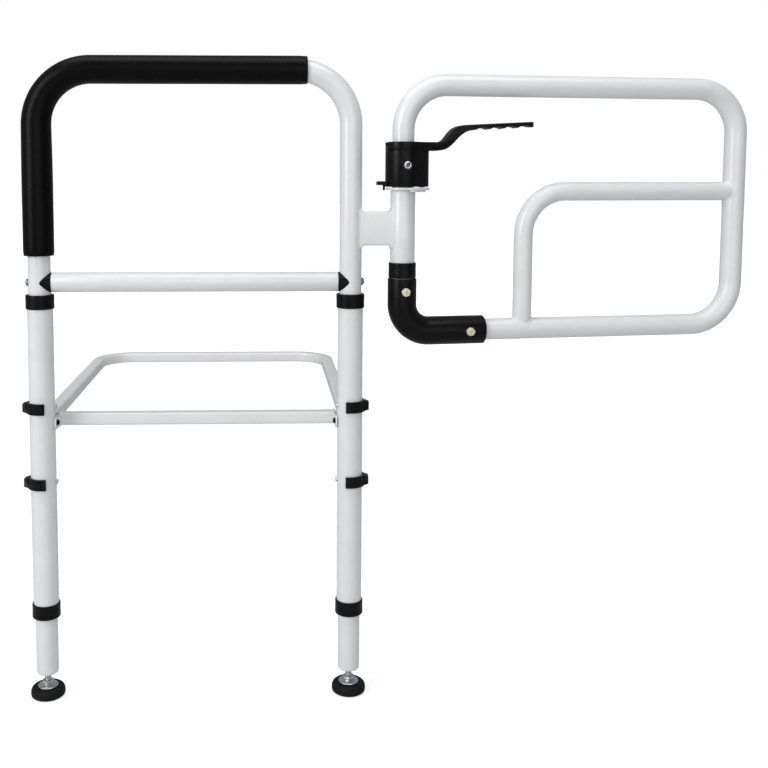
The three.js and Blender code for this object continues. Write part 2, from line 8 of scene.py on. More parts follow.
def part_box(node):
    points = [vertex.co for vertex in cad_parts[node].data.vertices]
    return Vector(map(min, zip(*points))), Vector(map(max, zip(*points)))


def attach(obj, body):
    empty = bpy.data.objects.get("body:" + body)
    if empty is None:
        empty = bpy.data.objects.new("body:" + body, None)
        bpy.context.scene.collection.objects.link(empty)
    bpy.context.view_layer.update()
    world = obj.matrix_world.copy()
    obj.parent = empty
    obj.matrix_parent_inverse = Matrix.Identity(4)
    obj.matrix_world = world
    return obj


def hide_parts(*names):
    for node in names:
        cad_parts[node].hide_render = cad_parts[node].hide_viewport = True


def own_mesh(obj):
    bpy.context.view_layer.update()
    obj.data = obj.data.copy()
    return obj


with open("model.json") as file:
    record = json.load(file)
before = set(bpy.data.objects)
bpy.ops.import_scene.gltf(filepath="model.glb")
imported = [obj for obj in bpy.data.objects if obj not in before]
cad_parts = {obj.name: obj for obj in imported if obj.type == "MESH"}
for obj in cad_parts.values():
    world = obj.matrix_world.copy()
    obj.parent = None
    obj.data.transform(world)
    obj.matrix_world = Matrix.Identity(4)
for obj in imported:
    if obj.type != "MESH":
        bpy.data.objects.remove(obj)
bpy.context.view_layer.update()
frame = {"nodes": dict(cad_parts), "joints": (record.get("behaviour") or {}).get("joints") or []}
mm = 0.001
quarterTurn = math.pi / 2


def middleOf(node):
    low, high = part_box(node)
    return (low + high) / 2


def heightsOf(node):
    low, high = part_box(node)
    return low.z, high.z


joints = {joint["name"]: joint for joint in frame["joints"]}
leverAxis = joints["lever_squeeze"]["axis"]
armTurn = math.atan2(leverAxis[0], -leverAxis[1])  # the arm rests a little towards the bed
leftX, postY = middleOf("left_post_tube").xy
rightX = middleOf("right_post_tube").x
pivotSpot = middleOf("pivot_sleeve")
railX = (leftX + rightX) / 2

# A spot is where a piece's own upright axis stands, and how far it is turned.
spots = {
    "left": (leftX, postY, math.pi),
    "right": (rightX, postY, 0),
    "rail": (railX, postY, 0),
    "pivot": (pivotSpot.x, pivotSpot.y, armTurn),
}


# Camera, at standing reach in front of the rail and a little to the right of it
camera = {
    "place": Vector((85, -1248, 664)),  # mm from the floor between the two posts
    "pitch": -4.92,
    "yaw": -1.68,
    "lens": 46.4,
    "shift": (0.12, -0.15),
}
view = bpy.data.objects.new("camera", bpy.data.cameras.new("camera"))
bpy.context.scene.collection.objects.link(view)
view.location = Vector((railX, postY, 0)) + camera["place"] * mm
view.rotation_euler = (math.radians(90 + camera["pitch"]), 0, math.radians(camera["yaw"]))
view.data.lens = camera["lens"]
view.data.shift_x, view.data.shift_y = camera["shift"]
bpy.context.scene.camera = view


# Materials
def colour(code):
    parts = [int(code[i : i + 2], 16) / 255 for i in (0, 2, 4)]
    return [p / 12.92 if p <= 0.04045 else ((p + 0.055) / 1.055) ** 2.4 for p in parts] + [1]


def addNode(material, kind, settings, links):
    node = material.node_tree.nodes.new(kind)
    for key, value in settings.items():
        if isinstance(key, int) or key in node.inputs:
            node.inputs[key].default_value = value
        else:
            setattr(node, key, value)
    for key, source in links.items():
        material.node_tree.links.new(source, node.inputs[key])
    return node


def newFinish(name, settings):
    material = bpy.data.materials.new(name)
    material.use_nodes = True
    surface = material.node_tree.nodes["Principled BSDF"]
    for key, value in settings.items():
        surface.inputs[key].default_value = value
    place = addNode(material, "ShaderNodeTexCoord", {}, {})
    return material, surface, place.outputs["Object"]


def join(material, source, surface, socket):
    material.node_tree.links.new(source, surface.inputs[socket])


# Patterns are nodes by name, with the output that is read and their settings. The tone runs between
# two colours as one pattern does, the roughness as another does, and the relief is laid on in turn.
def patterned(name, settings, patterns, tone, rough, relief):
    material, surface, place = newFinish(name, settings)
    made = {}
    for pattern, (kind, output, values) in patterns.items():
        made[pattern] = addNode(material, kind, values, {"Vector": place}).outputs[output]
    pattern, low, high, first, second = tone
    share = {"From Min": low, "From Max": high}
    share = addNode(material, "ShaderNodeMapRange", share, {"Value": made[pattern]}).outputs["Result"]
    colours = {"data_type": "RGBA", 6: colour(first), 7: colour(second)}
    mixed = addNode(material, "ShaderNodeMix", colours, {"Factor": share})
    join(material, mixed.outputs[2], surface, "Base Color")
    pattern, least, most = rough
    values = {"From Min": 0.3, "From Max": 0.7, "To Min": least, "To Max": most}
    values = addNode(material, "ShaderNodeMapRange", values, {"Value": made[pattern]})
    join(material, values.outputs["Result"], surface, "Roughness")
    links = {}
    for pattern, strength, depth in relief:  # depths in mm
        values = {"Strength": strength, "Distance": depth * mm}
        links["Height"] = made[pattern]
        links["Normal"] = addNode(material, "ShaderNodeBump", values, links).outputs["Normal"]
    join(material, links["Normal"], surface, "Normal")
    return material


cloudy = "ShaderNodeTexNoise"


def platedSteel(name, first, second, rough, metal=1.0):
    # Electroplate on turned steel: bright, with fine tool lines
    toolLines = {"bands_direction": "Z", "Scale": 0.7 / mm, "Distortion": 1.5}
    return patterned(
        name,
        {"Metallic": metal},
        {
            "cloud": (cloudy, "Fac", {"Scale": 1 / (3 * mm), "Detail": 3.0}),
            "lines": ("ShaderNodeTexWave", "Fac", toolLines),
        },
        tone=("cloud", 0.3, 0.7, first, second),
        rough=("cloud", rough - 0.06, rough + 0.08),
        relief=[("lines", 0.12, 0.03)],
    )


finishes = {
    # Baked polyester powder on steel: glossy white, with dimples of 1.6 mm over slow unevenness
    "white_paint": patterned(
        "whitePowderCoat",
        {"IOR": 1.5, "Coat Weight": 0.25, "Coat Roughness": 0.12},
        {
            "peel": (cloudy, "Fac", {"Scale": 1 / (1.6 * mm), "Detail": 1.0}),
            "flow": (cloudy, "Fac", {"Scale": 1 / (22 * mm), "Detail": 2.0}),
        },
        tone=("flow", 0.3, 0.7, "dfe2e4", "e3e6e8"),
        rough=("flow", 0.28, 0.32),
        relief=[("flow", 0.1, 0.12), ("peel", 0.3, 0.02)],
    ),
    # Closed-cell rubber foam with its moulded skin on: matt black, finely pored
    "grip_foam": patterned(
        "foamSkin",
        {"IOR": 1.45, "Specular IOR Level": 0.12},
        {
            "pores": ("ShaderNodeTexVoronoi", "Distance", {"Scale": 1 / (0.9 * mm)}),
            "patches": (cloudy, "Fac", {"Scale": 1 / (14 * mm), "Detail": 3.0}),
            "scuffs": (cloudy, "Fac", {"Scale": 1 / (3.5 * mm), "Detail": 4.0, "Roughness": 0.65}),
        },
        tone=("patches", 0.3, 0.7, "020202", "040404"),
        rough=("scuffs", 0.32, 0.42),
        relief=[("patches", 0.3, 0.5), ("pores", 0.4, 0.08)],
    ),
    # Black injection-moulded nylon: satin, with the mould's fine spark-eroded grain
    "black_plastic": patterned(
        "mouldedNylon",
        {"IOR": 1.5, "Specular IOR Level": 0.16},
        {
            "spark": (cloudy, "Fac", {"Scale": 1 / (0.5 * mm), "Detail": 3.0, "Roughness": 0.6}),
            "sink": (cloudy, "Fac", {"Scale": 1 / (9 * mm), "Detail": 2.0}),
        },
        tone=("sink", 0.3, 0.7, "020203", "050506"),
        rough=("sink", 0.3, 0.42),
        relief=[("sink", 0.2, 0.3), ("spark", 0.35, 0.04)],
    ),
    # Carbon-black rubber: matt, a little dusty in patches
    "foot_rubber": patterned(
        "mouldedRubber",
        {"IOR": 1.5, "Specular IOR Level": 0.2},
        {
            "speckle": (cloudy, "Fac", {"Scale": 1 / (0.8 * mm), "Detail": 4.0, "Roughness": 0.7}),
            "dust": (cloudy, "Fac", {"Scale": 1 / (7 * mm), "Detail": 3.0}),
        },
        tone=("dust", 0.35, 0.75, "0a0a0b", "151516"),
        rough=("speckle", 0.6, 0.75),
        relief=[("speckle", 0.4, 0.06)],
    ),
    "zinc_steel": platedSteel("clearZinc", "b9c1c8", "d2d6d9", 0.3),
    "yellow_zinc": platedSteel("paleYellowZinc", "dedcc0", "ebe9d6", 0.4, 0.6),
    "black_screw": platedSteel("blackOxide", "141416", "1f1f22", 0.42),
    "spring_steel": platedSteel("springSteel", "85888c", "9a9da1", 0.28),
}
print("materials made")


# Making and shaping
def deselect():
    if bpy.context.object and bpy.context.object.mode != "OBJECT":
        bpy.ops.object.mode_set(mode="OBJECT")
    bpy.ops.object.select_all(action="DESELECT")


def use(piece):
    deselect()
    piece.select_set(True)
    bpy.context.view_layer.objects.active = piece
    return piece


def begun(name):  # names the new primitive and puts its place into its mesh
    piece = bpy.context.object
    piece.name = piece.data.name = name
    bpy.ops.object.transform_apply(location=True, rotation=True, scale=True)
    return piece


def edit(kind="VERT"):
    bpy.ops.object.mode_set(mode="EDIT")
    bpy.ops.mesh.select_mode(type=kind)
    bpy.ops.mesh.select_all(action="SELECT")


def pick(piece, kind, test):  # selects the vertices, edges or faces whose middle passes the test
    edit(kind)
    bpy.ops.mesh.select_all(action="DESELECT")
    bpy.ops.object.mode_set(mode="OBJECT")
    mesh = piece.data
    places = [v.co for v in mesh.vertices]
    if kind == "VERT":
        for vertex in mesh.vertices:
            vertex.select = test(vertex.co)
    elif kind == "EDGE":
        for edge in mesh.edges:
            edge.select = test((places[edge.vertices[0]] + places[edge.vertices[1]]) / 2)
    else:
        for face in mesh.polygons:
            face.select = test(face.center)
    bpy.ops.object.mode_set(mode="EDIT")


def closeSeams():
    bpy.ops.mesh.select_all(action="SELECT")
    bpy.ops.mesh.remove_doubles(threshold=1e-6)
    bpy.ops.mesh.normals_make_consistent(inside=False)
    bpy.ops.object.mode_set(mode="OBJECT")


def modify(piece, kind, **settings):
    use(piece)
    modifier = piece.modifiers.new(kind.lower(), kind)
    for key, value in settings.items():
        setattr(modifier, key, value)
    bpy.ops.object.modifier_apply(modifier=modifier.name)
    return piece


def cutAway(piece, *tools):
    for tool in tools:
        modify(piece, "BOOLEAN", operation="DIFFERENCE", solver="EXACT", object=tool)
        bpy.data.objects.remove(tool)
    return piece


def unite(piece, *others):
    for other in others:
        modify(piece, "BOOLEAN", operation="UNION", solver="EXACT", object=other)
        bpy.data.objects.remove(other)
    return piece


def keepInside(piece, tool):
    modify(piece, "BOOLEAN", operation="INTERSECT", solver="EXACT", object=tool)
    bpy.data.objects.remove(tool)
    return piece


def gather(piece, *others):  # several closed shells in one piece
    use(piece)
    for other in others:
        other.select_set(True)
    bpy.ops.object.join()
    return piece


def soften(piece, width, segments=2, angle=38):
    limit = math.radians(angle)
    modify(piece, "BEVEL", width=width, segments=segments, limit_method="ANGLE", angle_limit=limit,
           use_clamp_overlap=True)
    return piece


def smooth(piece, angle=32):
    use(piece)
    bpy.ops.object.shade_smooth_by_angle(angle=math.radians(angle))
    return piece


def settle(piece, spot, body, slot, *nodes):  # puts a finished piece in its place and on its body
    use(piece)
    x, y, turn = spots[spot]
    piece.location = (x, y, 0)
    piece.rotation_euler = (0, 0, turn)
    bpy.ops.object.transform_apply(location=True, rotation=True, scale=True)
    piece.data.materials.clear()
    piece.data.materials.append(finishes[slot])
    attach(piece, body)
    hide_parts(*nodes)
    return piece


def copyOf(piece, name):
    use(piece)
    bpy.ops.object.duplicate(linked=False)
    twin = bpy.context.object
    twin.name = twin.data.name = name
    return twin


def bothSides(piece, name, body, slot, node):  # the right one is made, and the left one is its copy
    twin = copyOf(piece, "left" + name)
    piece.name = piece.data.name = "right" + name
    settle(piece, "right", body.replace("side", "right"), slot, "right_" + node)
    settle(twin, "left", body.replace("side", "left"), slot, "left_" + node)


def facing(direction):
    return direction.to_track_quat("Z", "Y").to_euler()


def ring(name, radius, at, along, sides=72):
    deselect()
    bpy.ops.mesh.primitive_circle_add(vertices=sides, radius=radius, location=at, rotation=facing(along))
    return begun(name)


def boxRing(name, width, height, corner, at, turn, segments=5):  # a rounded oblong across X or Y
    deselect()
    bpy.ops.mesh.primitive_plane_add(size=1, location=at, rotation=(quarterTurn, 0, turn))
    bpy.context.object.scale = (width, height, 1)
    piece = begun(name)
    edit()
    bpy.ops.mesh.bevel(offset=corner, segments=segments, affect="VERTICES")
    bpy.ops.mesh.select_all(action="SELECT")
    bpy.ops.mesh.delete(type="ONLY_FACE")
    bpy.ops.object.mode_set(mode="OBJECT")
    return piece


def runAlong(piece, corners, bend=0, steps=24, parts=1):  # extrudes straights and spins bends
    edit("EDGE")
    here = corners[0]
    for i in range(1, len(corners)):
        along = (corners[i] - corners[i - 1]).normalized()
        last = i == len(corners) - 1
        end = corners[i] if last else corners[i] - along * bend
        for _ in range(parts):
            bpy.ops.mesh.extrude_region_move(TRANSFORM_OT_translate={"value": (end - here) / parts})
        if not last:
            turned = (corners[i + 1] - corners[i]).normalized()
            # The spin operator turns the other way from its axis, so the angle is negative.
            bpy.ops.mesh.spin(steps=steps, angle=-quarterTurn, center=end + turned * bend,
                              axis=along.cross(turned))
            here = corners[i] + turned * bend
    closeSeams()
    return piece


def tube(name, radius, wall, corners, bend=0, sides=72, steps=24, parts=1):
    start = ring(name, radius, corners[0], corners[1] - corners[0], sides)
    piece = runAlong(start, corners, bend, steps, parts)
    return modify(piece, "SOLIDIFY", thickness=wall, offset=-1, use_rim=True)


def turnedOn(name, profile, rounding=0, steps=64, segments=2):  # an outline spun round the upright
    deselect()
    first = Vector((profile[0][0], 0, profile[0][1])) * mm
    bpy.ops.mesh.primitive_plane_add(size=mm, location=first)
    piece = begun(name)
    edit()
    bpy.ops.mesh.merge(type="CENTER")
    closed = list(profile[1:]) + ([] if profile[0][0] == 0 else [profile[0]])
    here = first
    for radius, height in closed:
        there = Vector((radius, 0, height)) * mm
        bpy.ops.mesh.extrude_vertices_move(TRANSFORM_OT_translate={"value": there - here})
        here = there
    bpy.ops.mesh.select_all(action="SELECT")
    bpy.ops.mesh.remove_doubles(threshold=1e-6)
    if rounding:
        bpy.ops.object.mode_set(mode="OBJECT")
        pick(piece, "VERT", lambda place: place.x > 1e-6)
        bpy.ops.mesh.bevel(offset=rounding * mm, segments=segments, affect="VERTICES")
    bpy.ops.mesh.select_all(action="SELECT")
    bpy.ops.mesh.spin(steps=steps, angle=math.tau, center=(0, 0, 0), axis=(0, 0, 1))
    closeSeams()
    return piece


def bar(name, radius, start, end, sides=48):  # a closed round bar between two places
    deselect()
    along = end - start
    bpy.ops.mesh.primitive_cylinder_add(vertices=sides, radius=radius, depth=along.length,
                                        location=(start + end) / 2, rotation=facing(along))
    return begun(name)


def block(name, low, high):
    deselect()
    bpy.ops.mesh.primitive_cube_add(size=1, location=(low + high) / 2)
    bpy.context.object.scale = high - low
    return begun(name)


def layDown(piece, direction, at):  # points a piece that was made upright another way, and moves it
    use(piece)
    piece.rotation_euler = facing(direction)
    piece.location = at
    bpy.ops.object.transform_apply(location=True, rotation=True, scale=True)
    return piece


def outline(name, points, low, high, plane="XY"):  # traced by extruding a vertex, then given depth
    deselect()
    def place(p):
        return Vector((p[0], p[1], low) if plane == "XY" else (p[0], low, p[1]))
    bpy.ops.mesh.primitive_plane_add(size=mm, location=place(points[0]))
    piece = begun(name)
    edit()
    bpy.ops.mesh.merge(type="CENTER")
    for before, after in zip(points, points[1:]):
        step = place(after) - place(before)
        bpy.ops.mesh.extrude_vertices_move(TRANSFORM_OT_translate={"value": step})
    bpy.ops.mesh.select_all(action="SELECT")
    bpy.ops.mesh.edge_face_add()
    depth = Vector((0, 0, high - low)) if plane == "XY" else Vector((0, high - low, 0))
    bpy.ops.mesh.extrude_region_move(TRANSFORM_OT_translate={"value": depth})
    closeSeams()
    return piece


def hexBar(name, acrossFlats, low, high):  # with the chamfered corners of a real nut
    deselect()
    radius = acrossFlats / math.sqrt(3)
    middle = (0, 0, (low + high) / 2)
    bpy.ops.mesh.primitive_cylinder_add(vertices=6, radius=radius, depth=high - low, location=middle)
    piece = begun(name)
    corner, foot, crown = radius / mm, low / mm, high / mm
    cone = [(0, foot - 1), (corner - 1, foot - 1), (corner + 0.15, foot + 0.6),
            (corner + 0.15, crown - 0.6), (corner - 1, crown + 1), (0, crown + 1)]
    keepInside(piece, turnedOn("chamfer", cone))
    return soften(piece, 0.15 * mm, 1)


def weldBead(name, radius, size, at, along, across):
    # A bead round a bar where it meets a round tube of another radius, with the torch's ripples
    deselect()
    middle = radius + size * 0.25
    bpy.ops.mesh.primitive_torus_add(major_segments=120, minor_segments=10, major_radius=middle,
                                     minor_radius=size, location=(0, 0, 0))
    piece = begun(name)
    tubeRadius, sideways = across
    for vertex in piece.data.vertices:
        bearing = math.atan2(vertex.co.y, vertex.co.x)
        direction = Vector((math.cos(bearing), math.sin(bearing), 0))
        lumps = noise.noise(Vector((direction.x, direction.y, at.z)) * 4)
        ripple = 1 + 0.05 * math.sin(bearing * 34) + 0.12 * lumps
        centre = direction * middle
        vertex.co = centre + (vertex.co - centre) * ripple
        reach = vertex.co.y if sideways == "Y" else vertex.co.x
        reach = min(abs(reach), tubeRadius)
        vertex.co.z -= tubeRadius - math.sqrt(max(tubeRadius ** 2 - reach ** 2, 0))
    return layDown(piece, along, at)


def upAt(x, z, y=0):
    return Vector((x, y, z)) * mm


up = Vector((0, 0, 1))
outwards = Vector((1, 0, 0))
inwards = Vector((-1, 0, 0))
forwards = Vector((0, -1, 0))

# Posts: outer tubes with a row of holes through them for the spring clips
post = {"radius": 16, "wall": 1.5, "hole": 3.5, "pitch": 20,
        "firstUpper": 361, "uppers": 7, "firstLower": 284, "lowers": 8}
low, high = heightsOf("right_post_tube")
ends = [Vector((0, 0, low)), Vector((0, 0, high))]
piece = tube("post", post["radius"] * mm, post["wall"] * mm, ends, sides=96)
holeHeights = [post["firstUpper"] + k * post["pitch"] for k in range(post["uppers"])]
holeHeights += [post["firstLower"] - k * post["pitch"] for k in range(post["lowers"])]
punches = [bar("punch", post["hole"] * mm, upAt(-30, z), upAt(30, z), 32) for z in holeHeights]
cutAway(piece, gather(*punches))
smooth(soften(piece, 0.25 * mm, 1))
bothSides(piece, "Post", "frame", "white_paint", "post_tube")
print("posts made")

# Collars: thin-walled caps on the ends of the outer tubes, a little waisted, with a rolled lip
collar = {"skirt": 0.25, "lip": 0.45, "bore": 14, "sleeve": 15.5, "sleeveBore": 13.7}


def collarPiece(outer, inner, lipZ, height):
    up = math.copysign(1, height)
    skirt = outer + collar["skirt"]
    profile = [
        (inner + collar["lip"], lipZ),
        (outer + 1.0, lipZ),
        (outer + 1.6, lipZ + up * 0.4),
        (outer + 1.9, lipZ + up * 1.4),
        (outer + 1.85, lipZ + height * 0.3),
        (outer + 1.7, lipZ + height * 0.55),
        (outer + 1.8, lipZ + height - up * 2.4),
        (outer + 1.75, lipZ + height - up * 0.7),
        (outer + 1.3, lipZ + height),
        (skirt, lipZ + height),
        (skirt, lipZ + up * 1.3),
        (inner + collar["lip"], lipZ + up * 1.3),
    ]
    return turnedOn("collar", profile, 0.22, 96)


for level, way in (("Top", -1), ("Bottom", 1)):
    node = f"post_{level.lower()}_collar"
    low, high = heightsOf("right_" + node)
    lip = high if way < 0 else low
    piece = collarPiece(post["radius"], collar["bore"], lip / mm, way * (high - low) / mm)
    bothSides(smooth(piece), level + "Collar", "frame", "black_plastic", node)
low, high = heightsOf("sleeve_collar")
piece = smooth(collarPiece(collar["sleeve"], collar["sleeveBore"], low / mm, (high - low) / mm))
piece.name = piece.data.name = "sleeveCollar"
settle(piece, "pivot", "hoop", "black_plastic", "sleeve_collar")
print("collars made")

# Spring clips: a strap that snaps half way round the post, a grip block, and a pin through both tubes
clip = {"inner": 16.4, "thick": 2.9, "tail": 6.4, "face": 24, "half": 7, "pin": 3}


def clipPieces(level, node):
    low, high = heightsOf(f"right_{node}_strap")
    z = (low + high) / 2
    deselect()
    middle = (clip["inner"] + clip["thick"] / 2) * mm
    bpy.ops.mesh.primitive_circle_add(vertices=96, radius=middle, location=(0, 0, low))
    strap = begun("strap")
    pick(strap, "VERT", lambda place: place.x < -0.1 * mm)
    bpy.ops.mesh.delete(type="VERT")
    pick(strap, "VERT", lambda place: place.x < 0.1 * mm)
    bpy.ops.mesh.extrude_vertices_move(TRANSFORM_OT_translate={"value": (-clip["tail"] * mm, 0, 0)})
    edit("EDGE")
    bpy.ops.mesh.extrude_region_move(TRANSFORM_OT_translate={"value": (0, 0, high - low)})
    closeSeams()
    modify(strap, "SOLIDIFY", thickness=clip["thick"] * mm, offset=0, use_rim=True)
    half = clip["half"] * mm
    near = Vector((clip["inner"] * mm, -half, z - half))
    head = block("head", near, Vector((clip["face"] * mm, half, z + half)))
    pick(head, "FACE", lambda place: place.x > (clip["face"] - 0.5) * mm)
    bpy.ops.transform.resize(value=(1, 0.74, 0.74), center_override=(clip["face"] * mm, 0, z))
    bpy.ops.mesh.inset(thickness=1.3 * mm, depth=-0.5 * mm)
    bpy.ops.object.mode_set(mode="OBJECT")
    unite(strap, head)
    boreEnd = Vector(((clip["face"] - 3) * mm, 0, z))
    cutAway(strap, bar("bore", clip["pin"] * mm + 0.2 * mm, Vector((0, 0, z)), boreEnd))
    smooth(soften(strap, 0.45 * mm, 3, 30))
    body = f"side_{level.lower()}_clip"
    bothSides(strap, level + "ClipStrap", body, "black_plastic", node + "_strap")
    start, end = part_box(f"right_{node}_pin")
    length = (end.x - start.x) / mm
    pin = turnedOn("pin", [(0, 0), (2.4, 0), (3, 1.2), (3, length), (0, length)], 0.2, 32)
    layDown(pin, outwards, Vector((start.x - rightX, 0, z)))
    bothSides(smooth(pin), level + "ClipPin", body, "zinc_steel", node + "_pin")


clipPieces("Upper", "upper_clip")
clipPieces("Lower", "lower_clip")
print("spring clips made")

# Feet: inner tubes, weld nuts, threaded studs with a pressed flange, and rubber pads
leg = {"slot": 7, "across": 20}
low, high = (z / mm for z in heightsOf("right_foot_leg"))
profile = [(8.6, low), (11, low), (12.7, low + 0.4), (13.6, low + 1.4), (14, low + 3.2), (14, high),
           (12.5, high), (12.5, low + 5.6), (11.2, low + 2.8), (8.6, low + 2.8)]
piece = turnedOn("footLeg", profile, 0.3, 96)
slotLow = (post["firstLower"] - leg["slot"] / 2) * mm
slotStart = Vector((-leg["across"] * mm, -leg["slot"] / 2 * mm, slotLow))
slotEnd = Vector((leg["across"] * mm, leg["slot"] / 2 * mm, high * mm + mm))
cutAway(piece, block("slot", slotStart, slotEnd))
bothSides(smooth(piece), "FootLeg", "side_leg", "white_paint", "foot_leg")
low, high = (z / mm for z in heightsOf("right_leg_nut"))
profile = [(4.4, low), (8.2, low), (8.2, low + 6.2), (12, low + 6.2), (12, high), (4.4, high)]
piece = turnedOn("legNut", profile, 0.3)
bothSides(smooth(piece), "LegNut", "side_leg", "zinc_steel", "leg_nut")

stud = {"rod": 4, "root": 3.45, "pitch": 1.25, "rodTop": 64, "hex": 13, "hexLow": 15, "hexHigh": 20.5}
flange = [(0, 5.3), (5, 5.3), (5, 13.1), (13, 13.1), (13, 14), (12.4, 14.5), (9.5, 14.7), (7.6, 15.4),
          (0, 15.4)]
piece = turnedOn("flange", flange, 0.2)
thread = [(0, stud["hexHigh"] - 0.5)]
turns = int((stud["rodTop"] - stud["hexHigh"] - 1) / stud["pitch"])
for k in range(turns):
    z = stud["hexHigh"] + k * stud["pitch"]
    thread += [(stud["root"], z), (stud["rod"], z + stud["pitch"] * 0.45),
               (stud["rod"], z + stud["pitch"] * 0.6)]
thread += [(stud["root"], stud["rodTop"] - 0.6), (stud["root"] - 0.6, stud["rodTop"]),
           (0, stud["rodTop"])]
hexHead = hexBar("hex", stud["hex"] * mm, stud["hexLow"] * mm, stud["hexHigh"] * mm)
gather(piece, hexHead, turnedOn("thread", thread, 0, 32))
bothSides(smooth(piece), "FootStud", "side_foot_screw", "zinc_steel", "foot_stud")

profile = [(0, 0), (17.5, 0), (19.8, 0.5), (21.5, 1.9), (21.95, 4.4), (21.8, 7.6), (20.9, 10.4),
           (19.2, 12.1), (17.2, 12.75), (14.2, 12.8), (13.6, 12.2), (5.4, 12.2), (5.4, 5), (0, 5)]
piece = turnedOn("footPad", profile, 0.5, 120, 3)
bothSides(smooth(piece), "FootPad", "side_foot", "foot_rubber", "foot_pad")
print("feet made")

# Hoop, with the slots that let the clip pins into its two open ends
hoop = {"radius": 14, "wall": 1.5, "bend": 68, "slot": 7, "across": 20, "slotTop": 384.5,
        "boltHole": 3.5}
low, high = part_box("hoop_tube")
span = (rightX - leftX) / 2
top = high.z - hoop["radius"] * mm
corners = [Vector((-span, 0, low.z)), Vector((-span, 0, top)),
           Vector((span, 0, top)), Vector((span, 0, low.z))]
piece = tube("hoopTube", hoop["radius"] * mm, hoop["wall"] * mm, corners, hoop["bend"] * mm, 96, 36)
for x in (-span, span):
    slotStart = Vector((x - hoop["across"] * mm, -hoop["slot"] / 2 * mm, low.z - mm))
    slotEnd = Vector((x + hoop["across"] * mm, hoop["slot"] / 2 * mm, hoop["slotTop"] * mm))
    cutAway(piece, block("slot", slotStart, slotEnd))
settle(smooth(piece), "rail", "hoop", "white_paint", "hoop_tube")

barLow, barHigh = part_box("cross_bar")
barZ = (barLow.z + barHigh.z) / 2
barHalf = (barHigh.x - barLow.x) / 2
barRadius = (barHigh.z - barLow.z) / 2
ends = [Vector((-barHalf, 0, barZ)), Vector((barHalf, 0, barZ))]
piece = tube("crossBar", barRadius, hoop["wall"] * mm, ends, sides=80)
settle(smooth(soften(piece, 0.3 * mm)), "rail", "hoop", "white_paint", "cross_bar")

# Saddles: moulded end caps of the cross bar, hollowed to sit against the hoop's legs
saddle = {"radius": 13.3, "wide": 13.85, "high": 12.4, "tip": 2, "plug": 10.7, "reach": 12, "gap": 0.08}
face = (barHalf - span) / mm + 0.3
depth = -face - saddle["tip"]
profile = [(0, 0), (saddle["radius"], 0), (saddle["radius"], depth), (0, depth)]
cap = layDown(turnedOn("saddle", profile, 0.5, 80), outwards, upAt(face, barZ / mm))
for vertex in cap.data.vertices:  # wider than high, so that its lips draw to a point on the leg
    vertex.co.y *= saddle["wide"] / saddle["radius"]
    vertex.co.z = barZ + (vertex.co.z - barZ) * saddle["high"] / saddle["radius"]
plugStart = upAt(face - saddle["reach"], barZ / mm)
plug = bar("plug", saddle["plug"] * mm, plugStart, upAt(face + 1, barZ / mm))
unite(cap, plug)
hollow = bar("hollow", (hoop["radius"] + saddle["gap"]) * mm, Vector((0, 0, barZ - 30 * mm)),
             Vector((0, 0, barZ + 30 * mm)), 96)
cutAway(cap, hollow, bar("boltHole", hoop["boltHole"] * mm, upAt(-50, barZ / mm), upAt(0, barZ / mm)))
bothSides(smooth(soften(cap, 0.25 * mm, 2, 50)), "Saddle", "hoop", "black_plastic", "saddle")
bolt = [(0, 0), (5, 0), (4.95, 0.7), (4.5, 1.7), (3.6, 2.5), (2.3, 3), (0, 3.1)]
head = layDown(turnedOn("boltHead", bolt, 0, 48), outwards, upAt(14.15, barZ / mm))
shank = bar("shank", 3 * mm, upAt(-26, barZ / mm), upAt(14.5, barZ / mm), 32)
bothSides(smooth(gather(head, shank)), "CrossBarBolt", "hoop", "spring_steel", "cross_bar_bolt")
print("hoop made")

# Foam grip: a sleeve without a split, stretched thinner round the bend and along the top
foam = {"start": 574, "run": 538.7, "wide": 19.15, "narrow": 17.6, "wall": 3.6, "sides": 72, "parts": 30}
legRun = top / mm - hoop["bend"] - foam["start"]
bendRun = quarterTurn * hoop["bend"]
topRun = foam["run"] - legRun - bendRun
corners = [Vector((-span, 0, foam["start"] * mm)), Vector((-span, 0, top)),
           Vector((-span + (hoop["bend"] + topRun) * mm, 0, top))]
piece = ring("foamGrip", foam["wide"] * mm, corners[0], up, foam["sides"])
runAlong(piece, corners, hoop["bend"] * mm, foam["parts"], foam["parts"])
bendCentre = corners[1] + Vector((hoop["bend"], 0, -hoop["bend"])) * mm
for vertex in piece.data.vertices:
    place = vertex.co
    if place.z <= bendCentre.z + 1e-7 and place.x < bendCentre.x:
        axis = Vector((-span, 0, place.z))
        run = place.z / mm - foam["start"]
    elif place.x >= bendCentre.x - 1e-7:
        axis = Vector((place.x, 0, top))
        run = legRun + bendRun + (place.x - bendCentre.x) / mm
    else:
        away = Vector((place.x, 0, place.z)) - bendCentre
        axis = bendCentre + away.normalized() * hoop["bend"] * mm
        run = legRun + math.atan2(away.z, -away.x) * hoop["bend"]
    share = min(max((run - legRun * 0.5) / (bendRun + legRun * 0.5), 0), 1)
    share = share * share * (3 - 2 * share)
    radius = foam["wide"] + (foam["narrow"] - foam["wide"]) * share
    away = (place - axis).normalized()
    swell = 0.12 * noise.noise(place * 18) + 0.05 * noise.noise(place * 60)
    endRound = min(run, foam["run"] - run) / 1.4
    crown = 0 if endRound >= 1 else -0.6 * (1 - math.sqrt(max(1 - (1 - endRound) ** 2, 0)))
    vertex.co = axis + away * (radius + swell + crown) * mm
modify(piece, "SOLIDIFY", thickness=foam["wall"] * mm, offset=-1, use_rim=True)
settle(smooth(soften(piece, 0.5 * mm, 3, 50), 50), "rail", "hoop", "grip_foam", "foam_grip")
print("foam grip made")


